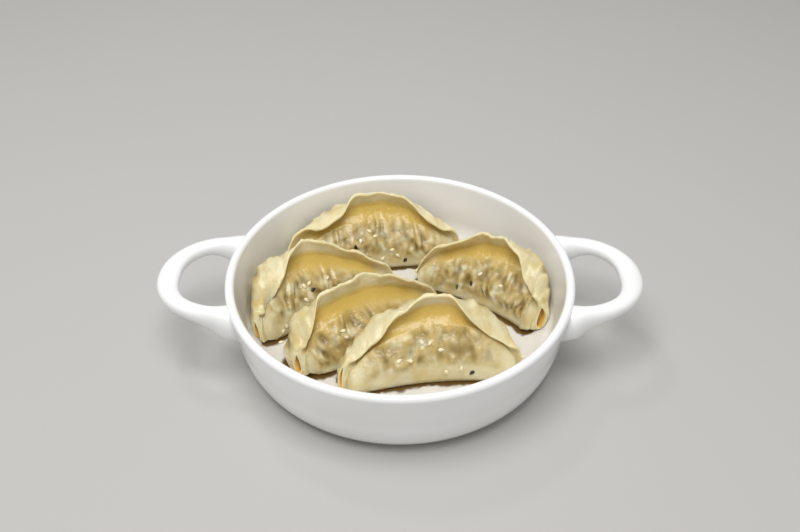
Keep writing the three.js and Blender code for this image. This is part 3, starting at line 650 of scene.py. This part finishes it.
class DoughSettings(bpy.types.PropertyGroup):
    """The dough: its colours, how it lets light through, and how finely it is meshed."""
    thick_dough: FloatVectorProperty(name="Thick dough", description="Colour of the sheet where it is thick",
                                     default=linear("E2D8B0"), **COLOUR)
    thin_dough: FloatVectorProperty(name="Thin dough", description="Colour of the sheet where it is thin",
                                    default=linear("D7C389"), **COLOUR)
    # painted shade: the ochre of the hollow under the seam stands for the shade there
    under_seam: FloatVectorProperty(name="Under the seam", description="Colour of the hollow under the seam",
                                    default=linear("D6B65A"), **COLOUR)
    meat: FloatVectorProperty(name="Meat", description="Colour over the meat",
                              default=linear("CBB478"), **COLOUR)
    leaf: FloatVectorProperty(name="Leaf", description="Colour over the leaf",
                              default=linear("9B894F"), **COLOUR)
    fat: FloatVectorProperty(name="Fat", description="Colour over the fat",
                             default=linear("E4DDBB"), **COLOUR)
    # painted shade in the creases; the crests of the folds get a painted highlight from the lighter mottle
    crease_shade: FloatVectorProperty(name="Crease", description="Colour in the creases of the belly",
                                default=linear("8D7539"), **COLOUR)
    edge: FloatVectorProperty(name="Edge", description="Colour of the free edge of the seam",
                              default=linear("EFE1B4"), **COLOUR)
    # painted shade inside a sprung corner
    slit_shade: FloatVectorProperty(name="Inside a corner", description="Colour inside a sprung corner",
                              default=linear("E4BE68"), **COLOUR)
    let_through: FloatProperty(name="Light let through", description="Share of light that goes in",
                               default=0.6, min=0, max=1, subtype="FACTOR")
    wetness: FloatProperty(name="Wetness", description="Strength of the film of water",
                           default=0.7, min=0, max=1, subtype="FACTOR")
    round_steps: IntProperty(name="Steps round", description="Points round a section",
                             default=176, min=48, max=220)
    long_steps: IntProperty(name="Steps along", description="Sections along a dumpling",
                            default=260, min=60, max=320)


class SeedSettings(bpy.types.PropertyGroup):
    """One sesame seed, sizes in mm."""
    length: FloatProperty(name="Length", description="Length of a seed, in mm", default=3.0, min=1, max=5)
    width: FloatProperty(name="Width", description="Width of a seed, in mm", default=1.9, min=0.5, max=3)
    thick: FloatProperty(name="Thickness", description="Thickness of a seed, in mm",
                         default=1.1, min=0.3, max=2)


class StageSettings(bpy.types.PropertyGroup):
    """Floor, light and camera."""
    floor: FloatVectorProperty(name="Floor", description="Colour of the floor",
                               default=linear("C0BEBA"), **COLOUR)
    pitch: FloatProperty(name="Camera pitch", description="How far the camera looks down",
                         default=math.radians(39.41), subtype="ANGLE")
    lens: FloatProperty(name="Lens", description="Focal length in mm on a 36 mm sensor", default=39.645)
    overhead: FloatProperty(name="Overhead light", description="Power of the large soft light",
                            default=9.8, min=0, unit="POWER")
    spark: FloatProperty(name="Small light", description="Power of the light that makes the wet glints",
                         default=0.65, min=0, unit="POWER")
    room: FloatProperty(name="Room light", description="Strength of the even light around",
                        default=0.42, min=0)


class DumplingBowlSettings(bpy.types.PropertyGroup):
    """All settings of the bowl of dumplings."""
    dish: PointerProperty(type=DishSettings, name="Dish", description="Settings of the dish")
    dough: PointerProperty(type=DoughSettings, name="Dough", description="Settings of the dough")
    seed: PointerProperty(type=SeedSettings, name="Seed", description="Settings of a sesame seed")
    stage: PointerProperty(type=StageSettings, name="Stage",
                           description="Settings of floor, light and camera")


def dish_profile(dish):
    """Radius and height of each step from the middle of the underside, over the rim, to the floor."""
    steps = []
    for i in range(CORNER_STEPS + 1):
        t = i / CORNER_STEPS * math.pi / 2
        c, s = math.sin(t) ** (2 / CORNER_POWER), math.cos(t) ** (2 / CORNER_POWER)
        steps.append((BASE_RADIUS + (SHOULDER_RADIUS - BASE_RADIUS) * c, SHOULDER_HEIGHT * (1 - s)))
    lip = dish.wall / 2
    for i in range(RIM_STEPS + 1):
        t = i / RIM_STEPS * math.pi
        steps.append((dish.rim_radius - lip + lip * math.cos(t), dish.height - lip + lip * math.sin(t)))
    for i in range(CORNER_STEPS, -1, -1):
        t = i / CORNER_STEPS * math.pi / 2
        c, s = math.sin(t) ** (2 / CORNER_POWER), math.cos(t) ** (2 / CORNER_POWER)
        r1 = SHOULDER_RADIUS - dish.wall
        steps.append((FLOOR_RADIUS + (r1 - FLOOR_RADIUS) * c,
                      SHOULDER_HEIGHT - (SHOULDER_HEIGHT - FLOOR_THICK) * s))
    return steps


def extrude_ring(bm, edges):
    """Extrudes a loop of edges and gives the new edges and points."""
    made = bmesh.ops.extrude_edge_only(bm, edges=edges)["geom"]
    return ([g for g in made if isinstance(g, bmesh.types.BMEdge)],
            [g for g in made if isinstance(g, bmesh.types.BMVert)])


def turned_bowl(bm, dish):
    """Bowl: a disc whose edge is drawn out, up, over the rim, down, and in across the floor."""
    bmesh.ops.create_circle(bm, cap_ends=True, cap_tris=True, segments=dish.sides,
                            radius=BASE_RADIUS * START_SHARE)
    edges = [e for e in bm.edges if e.is_boundary]
    for radius, height in dish_profile(dish):
        edges, verts = extrude_ring(bm, edges)
        for v in verts:
            k = radius / math.hypot(v.co.x, v.co.y)
            v.co = (v.co.x * k, v.co.y * k, height)
    for i in range(1, FLOOR_STEPS):
        edges, verts = extrude_ring(bm, edges)
        for v in verts:
            k = FLOOR_RADIUS * (1 - i / FLOOR_STEPS) / math.hypot(v.co.x, v.co.y)
            v.co.x, v.co.y = v.co.x * k, v.co.y * k
    bmesh.ops.contextual_create(bm, geom=edges)


def base_points(dish):
    """Points along the foot of every dumpling, where juice gathers on the floor of the dish."""
    t = station_angle(np.linspace(0, 1, FOOT_MARKS))
    low = np.full(FOOT_MARKS, FOOT_LEVEL)
    around = [dough_points(name, t, low, np.full(FOOT_MARKS, side), dish, relief=False)[0][:, :2]
              for name in DUMPLINGS for side in (-1.0, 1.0)]
    return np.concatenate(around)


def stain(bm, dish):
    """Juice and painted shade at each point of the dish's floor: 1 at a dumpling's foot, 0 up the wall."""
    feet = base_points(dish)
    layer = bm.verts.layers.float.new("stain")
    for v in bm.verts:
        flat = math.hypot(v.co.x, v.co.y)
        if flat < SHOULDER_RADIUS - dish.wall and FLOOR_THICK - LEVEL_SLACK < v.co.z < SHOULDER_HEIGHT:
            gap = np.hypot(feet[:, 0] - v.co.x, feet[:, 1] - v.co.y).min()
            reach = JUICE_REACH + sum(size * noise.noise((v.co.x / run, v.co.y / run, seed))
                                      for size, run, seed in JUICE_WAVES)
            low = 1 - smooth_step(v.co.z, FLOOR_THICK + JUICE_FADE[0], FLOOR_THICK + JUICE_FADE[1])
            v[layer] = float(low * max(1 - smooth_step(gap, 0, max(reach, JUICE_LEAST)), JUICE_FILM_SHADE))


def handle_loop(bm, dish, side):
    """One loop handle: a band section carried round between an outer and an inner oval."""
    def oval(t, tip, half, power):
        c = abs(math.cos(t)) ** (2 / power)
        s = abs(math.sin(t)) ** (2 / power) * math.copysign(1, math.sin(t))
        return OVAL_CENTRE + (tip - OVAL_CENTRE) * c, half * s

    def band(v, j):
        """Where a point of the round section goes at station j."""
        t = (j / HANDLE_STATIONS - 0.5) * math.pi
        xo, yo = oval(t, dish.handle_tip, HANDLE_HALF, OUTER_POWER)
        xi, yi = oval(t, HOLE_TIP, HOLE_HALF, HOLE_POWER)
        way = math.copysign(1, t)
        grow = [min(max(1 - (x - OVAL_CENTRE) / run, 0), 1) ** 2
                for x, run in ((xo, FLARE_RUN), (xi, FLARE_RUN), ((xo + xi) / 2, ROOT_RUN))]
        yo, yi = yo + way * FLARE * grow[0], yi - way * FLARE * grow[1]
        thick = HANDLE_THICK + ROOT_DROP * grow[2]
        a = math.atan2(v.y, v.x)
        c = math.copysign(abs(math.cos(a)) ** (2 / HANDLE_ROUND), math.cos(a))
        s = math.copysign(abs(math.sin(a)) ** (2 / HANDLE_ROUND), math.sin(a))
        x = (xo + xi) / 2 + (xo - xi) / 2 * c
        y = (yo + yi) / 2 + (yo - yi) / 2 * c
        z = HANDLE_TOP - thick / 2 + thick / 2 * s
        if j in (0, HANDLE_STATIONS):
            x = math.sqrt((outer_radius(z, dish) - dish.wall / 2) ** 2 - y * y)
        return Vector((side * x, side * y, z))

    made = bmesh.ops.create_circle(bm, cap_ends=True, segments=HANDLE_POINTS, radius=1)
    ring = {v: v.co.copy() for v in made["verts"]}
    edges = list({e for v in ring for e in v.link_edges if e.is_boundary})
    for j in range(HANDLE_STATIONS + 1):
        if j:
            edges, verts = extrude_ring(bm, edges)
            old = {tuple(round(c, 5) for c in co): flat for co, flat in place.items()}
            ring = {v: old[tuple(round(c, 5) for c in v.co)] for v in verts}
        place = {}
        for v, flat in ring.items():
            v.co = band(flat, j)
            place[tuple(v.co)] = flat
    bmesh.ops.contextual_create(bm, geom=edges)


class MESH_OT_dumpling_dish(bpy.types.Operator):
    """Make the glazed dish with its two loop handles"""
    bl_idname = "mesh.dumpling_dish"
    bl_label = "Dish"

    def execute(self, context):
        dish = context.scene.dumpling_bowl.dish
        bm = bmesh.new()
        turned_bowl(bm, dish)
        for side in (1, -1):
            handle_loop(bm, dish, side)
        bmesh.ops.remove_doubles(bm, verts=bm.verts, dist=WELD)
        bmesh.ops.recalc_face_normals(bm, faces=bm.faces)
        stain(bm, dish)
        finish_piece("glazed_dish", bm, glaze_material(dish), ["dish"])
        return {"FINISHED"}


def dumpling_mesh(name, dish, dough):
    """A dumpling worked from a ball: its poles become the corners, its meridians the sections."""
    d = DUMPLINGS[name]
    bm = bmesh.new()
    bmesh.ops.create_uvsphere(bm, u_segments=dough.round_steps, v_segments=dough.long_steps, radius=1)
    co = np.array([v.co for v in bm.verts])
    u = np.arccos(np.clip(co[:, 2], -1, 1)) / math.pi
    pole = np.hypot(co[:, 0], co[:, 1]) < 1e-6
    p = (np.arctan2(co[:, 1], co[:, 0]) / (2 * math.pi)) % 1

    # u runs from corner to corner and p round a section; the first and last rows cap the corners
    cap = CAP_ROWS / dough.long_steps
    k = np.clip(np.minimum(u, 1 - u) / cap, 0, 1)
    t = station_angle(np.clip((u - cap) / (1 - 2 * cap), 0, 1))
    l = np.where(pole, 1.0, np.interp(p, ROUND_AT, ROUND_L))
    side = np.where(p < EDGE_AT, -1.0, 1.0)
    under = np.where(p < 0.5, np.clip(p / ROUND_AT[1], 0, 1), np.clip((1 - p) / (1 - ROUND_AT[-2]), 0, 1))
    shrink = np.where(pole, 0, np.sin(k * math.pi / 2)) * under
    outward = np.where(u < 0.5, -1, 1) * CAP_DEPTH * np.cos(k * math.pi / 2)
    drawn, mouth, inside, lip = (np.zeros(len(u)) for _ in range(4))
    if d["corner"] is not None:
        # the cap of a sprung corner is drawn to the lips of its mouth, then goes in
        first = d["corner"] == 0
        way_in = 1 if first else -1
        here = (k < 1) & ((u < 0.5) if first else (u > 0.5))
        row = (1 - k) * CAP_ROWS
        plump = np.maximum(l * (2 - l), 0) ** MOUTH_PLUMP
        drawn = np.where(here, np.interp(row, MOUTH_ROW, MOUTH_DRAWN), 0)
        level = MOUTH_LOW + (MOUTH_HIGH - MOUTH_LOW) * l / 2
        l = l + (level - l) * np.where(here, smooth_step(row, *TURN_ROWS), 0)
        deep = smooth_step(row, *DEEP_ROWS)
        l = np.where(here & pole, MOUTH_DEPTH_LEVEL, l * np.where(here, 1 - MOUTH_SHRINK * deep, 1))
        t = np.where(here, t + way_in * math.radians(MOUTH_IN) * deep, t)
        mouth = np.maximum(curve(MOUTH_AT, MOUTH_HALF, l) + plump * np.interp(row, MOUTH_ROW, MOUTH_GAP), 0)
        shrink = np.where(here, under * np.where(pole, 0, 1), shrink)
        outward = np.where(here, -way_in * np.interp(row, MOUTH_ROW, MOUTH_LIFT), outward)
        # painted shade inside the mouth, lighter toward its top
        pale = 1 - SLIT_PALE * smooth_step(l, *SLIT_TOP)
        inside = np.where(here, smooth_step(row, *INSIDE_ROWS) * pale, inside)
        lip = np.where(here, smooth_step(row, *LIP_STARTS) * (1 - smooth_step(row, *LIP_ENDS)), lip)
        off = t if first else math.pi - t
        t = t + way_in * d["cut"] * (l / 2) ** CUT_POWER * (1 - smooth_step(off, 0, CUT_RUN))
    points, ridge = dough_points(name, t, l, side, dish, shrink, outward, True, drawn, mouth)

    for v, xyz in zip(bm.verts, points):
        v.co = xyz
    bmesh.ops.recalc_face_normals(bm, faces=bm.faces)
    # the hollow side of a curled seam can be taken for the outside
    if bm.calc_volume(signed=True) < 0:
        bmesh.ops.reverse_faces(bm, faces=bm.faces)

    # where filling shows through, the painted shade in the hollow under the seam, the pale free edge, and how
    # wet
    s = np.sin(t)
    front = side < 0
    way = np.minimum(l, 1)
    filling = smooth_step(way, d["clear"], d["clear"] + FILLING_FOOT) * np.where(
        front, (1 - smooth_step(way, *FILLING_TOP))
        * smooth_step(s, FILLING_ENDS[0] + d["clear"], FILLING_ENDS[1] + d["clear"]),
        BEHIND_SHARE * (1 - smooth_step(way, *BEHIND_TOP)) * smooth_step(s, *BEHIND_ENDS))
    hollow_shade = np.where(front, smooth_step(l, *HOLLOW_SHADE_FOOT) * (1 - smooth_step(l, *HOLLOW_SHADE_TOP)), 0)
    toward_edge = smooth_step(l, *PALE_EDGE)
    for label, values in (("filling", filling), ("ridge", ridge), ("inside_slit", inside),
                          ("under_seam", hollow_shade * smooth_step(s, *HOLLOW_SHADE_ENDS)),
                          ("seam_edge", np.maximum(PALE_SHARE * toward_edge * (k == 1), lip)),
                          ("moist", np.where(front, 1 - DRY_EDGE * toward_edge, DAMP_BACK))):
        layer = bm.verts.layers.float.new(label)
        for v, value in zip(bm.verts, values):
            v[layer] = value
    return bm


class MESH_OT_steamed_dumplings(bpy.types.Operator):
    """Make the five dumplings, each pressed against its neighbours and the dish"""
    bl_idname = "mesh.steamed_dumplings"
    bl_label = "Dumplings"

    def execute(self, context):
        bowl = context.scene.dumpling_bowl
        mat = dough_material(bowl.dough)
        for name in DUMPLINGS:
            bm = dumpling_mesh(name, bowl.dish, bowl.dough)
            finish_piece(f"{name}_dumpling", bm, mat, [f"dumpling_{name}"])
        return {"FINISHED"}


def seed_at(bm, place, normal, turn, seed, herb=False):
    """Adds one seed, or a scrap of herb, lying on a spot: a drop with one blunt and one narrow end."""
    made = bmesh.ops.create_uvsphere(bm, u_segments=16, v_segments=10, radius=0.5)["verts"]
    bmesh.ops.rotate(bm, verts=made, matrix=Matrix.Rotation(math.pi / 2, 3, "Y"))
    slim, thin = (HERB_SLIM, HERB_THIN) if herb else (1, 1)
    for v in made:
        taper = 1 if herb else 1 - SEED_TAPER * smooth_step(v.co.x, -0.1, 0.5)
        thick = seed.thick * (0.4 + 0.6 * taper)
        v.co = (v.co.x * seed.length, v.co.y * seed.width * taper * slim, v.co.z * thick * thin)
    lay = normal.to_track_quat("Z", "X").to_matrix() @ Matrix.Rotation(turn, 3, "Z")
    bmesh.ops.rotate(bm, verts=made, matrix=lay)
    bmesh.ops.translate(bm, verts=made, vec=place + normal * seed.thick * (HERB_UP if herb else SEED_UP))


class MESH_OT_dumpling_sesame(bpy.types.Operator):
    """Strew the white and black sesame and the scrap of herb where they lie"""
    bl_idname = "mesh.dumpling_sesame"
    bl_label = "Sesame and herb"

    def execute(self, context):
        bowl = context.scene.dumpling_bowl
        kinds = {"white": bmesh.new(), "black": bmesh.new(), "herb": bmesh.new()}
        for name, spots in TOPPING.items():
            mesh = bpy.data.objects[f"{name}_dumpling"].data
            tree = BVHTree.FromPolygons([v.co / MM for v in mesh.vertices],
                                        [p.vertices for p in mesh.polygons])
            for i, (kind, angle, height) in enumerate(spots):
                t = np.radians(angle) + np.array([0, SPOT_STEP, 0])
                level = height + np.array([0, 0, SPOT_STEP])
                near, _ = dough_points(name, t, level, np.full(3, -1.0), bowl.dish, relief=False)
                p, a, b = (Vector(q) for q in near)
                facing = (a - p).cross(b - p).normalized()
                hit, normal, _, _ = tree.ray_cast(p + facing * CAST_FROM, -facing)
                if hit is None:
                    raise RuntimeError(f"no dough under a seed on the {name} dumpling")
                turn = DUMPLINGS[name]["phase"] + SEED_SPIN * i
                seed_at(kinds[kind], hit, normal, turn, bowl.seed, kind == "herb")
        for x, y in FLOOR_SEEDS:
            seed_at(kinds["white"], Vector((x, y, FLOOR_THICK)), Vector((0, 0, 1)), x * y, bowl.seed)
        hull = grain_material("hulled white sesame", linear("F2DFA8"), linear("FFF6D8"), 1.2)
        dark = grain_material("black sesame", linear("15110E"), linear("2E2721"), 0.8)
        green = grain_material("chopped chive", linear("2F4420"), linear("5B7238"), 0.8)
        every = [f"dumpling_{name}" for name in DUMPLINGS]
        with_black = [f"dumpling_{name}" for name in ("front", "left", "back", "right")]
        finish_piece("white_sesame", kinds["white"], hull, every + ["dish"])
        finish_piece("black_sesame", kinds["black"], dark, with_black)
        finish_piece("herb_scrap", kinds["herb"], green, ["dumpling_right"])
        return {"FINISHED"}


class SCENE_OT_dumpling_stage(bpy.types.Operator):
    """Set up the plain floor, the soft light and the camera"""
    bl_idname = "scene.dumpling_stage"
    bl_label = "Stage"

    def execute(self, context):
        stage = context.scene.dumpling_bowl.stage
        scene = context.scene
        scene.view_settings.view_transform = "Standard"
        bm = bmesh.new()
        bmesh.ops.create_grid(bm, x_segments=1, y_segments=1, size=FLOOR_SIZE)
        bmesh.ops.translate(bm, verts=bm.verts, vec=(0, 0, -FLOOR_UNDER))
        mesh = bpy.data.meshes.new("floor")
        bm.to_mesh(mesh)
        bm.free()
        mesh.materials.append(board_material(stage.floor))
        floor = bpy.data.objects.new("floor", mesh)
        context.collection.objects.link(floor)

        world = bpy.data.worlds.new("soft room")
        world.use_nodes = True
        sky = world.node_tree.nodes["Background"]
        sky.inputs[0].default_value = linear("F6F7F8")
        sky.inputs[1].default_value = stage.room
        scene.world = world
        for name, spot, size in LIGHTS:
            data = bpy.data.lights.new(name, "AREA")
            data.shape, data.size, data.energy = "SQUARE", size, getattr(stage, name)
            lamp = bpy.data.objects.new(name, data)
            lamp.location = spot
            lamp.rotation_euler = (-Vector(spot)).to_track_quat("-Z", "Y").to_euler()
            context.collection.objects.link(lamp)

        data = bpy.data.cameras.new("camera")
        data.lens, data.sensor_width, data.sensor_fit = stage.lens, 36, "HORIZONTAL"
        data.clip_start, data.clip_end = 0.01, 20
        camera = bpy.data.objects.new("camera", data)
        camera.location = (0, -CAMERA_FAR * math.cos(stage.pitch),
                           CAMERA_AIM + CAMERA_FAR * math.sin(stage.pitch))
        camera.rotation_euler = (math.pi / 2 - stage.pitch, 0, 0)
        context.collection.objects.link(camera)
        scene.camera = camera
        return {"FINISHED"}


class VIEW3D_PT_dumpling_bowl(bpy.types.Panel):
    """Settings of the bowl of dumplings, and a button for each piece"""
    bl_label = "Bowl of dumplings"
    bl_idname = "VIEW3D_PT_dumpling_bowl"
    bl_space_type = "VIEW_3D"
    bl_region_type = "UI"
    bl_category = "Dumplings"

    def draw(self, context):
        bowl = context.scene.dumpling_bowl
        for group, operator in ((bowl.dish, MESH_OT_dumpling_dish), (bowl.dough, MESH_OT_steamed_dumplings),
                                (bowl.seed, MESH_OT_dumpling_sesame), (bowl.stage, SCENE_OT_dumpling_stage)):
            box = self.layout.box()
            box.label(text=operator.bl_label)
            for name in group.bl_rna.properties.keys():
                if name not in ("rna_type", "name"):
                    box.prop(group, name)
            box.operator(operator.bl_idname)


CLASSES = (
    DishSettings, DoughSettings, SeedSettings, StageSettings, DumplingBowlSettings,
    MESH_OT_dumpling_dish, MESH_OT_steamed_dumplings, MESH_OT_dumpling_sesame, SCENE_OT_dumpling_stage,
    VIEW3D_PT_dumpling_bowl,
)


def register():
    for cls in CLASSES:
        bpy.utils.register_class(cls)
    bpy.types.Scene.dumpling_bowl = PointerProperty(type=DumplingBowlSettings)


def unregister():
    del bpy.types.Scene.dumpling_bowl
    for cls in reversed(CLASSES):
        bpy.utils.unregister_class(cls)


def main():
    """Makes the stage and every piece."""
    register()
    bpy.ops.scene.dumpling_stage()
    bpy.ops.mesh.dumpling_dish()
    bpy.ops.mesh.steamed_dumplings()
    bpy.ops.mesh.dumpling_sesame()


if __name__ == "__main__":
    main()
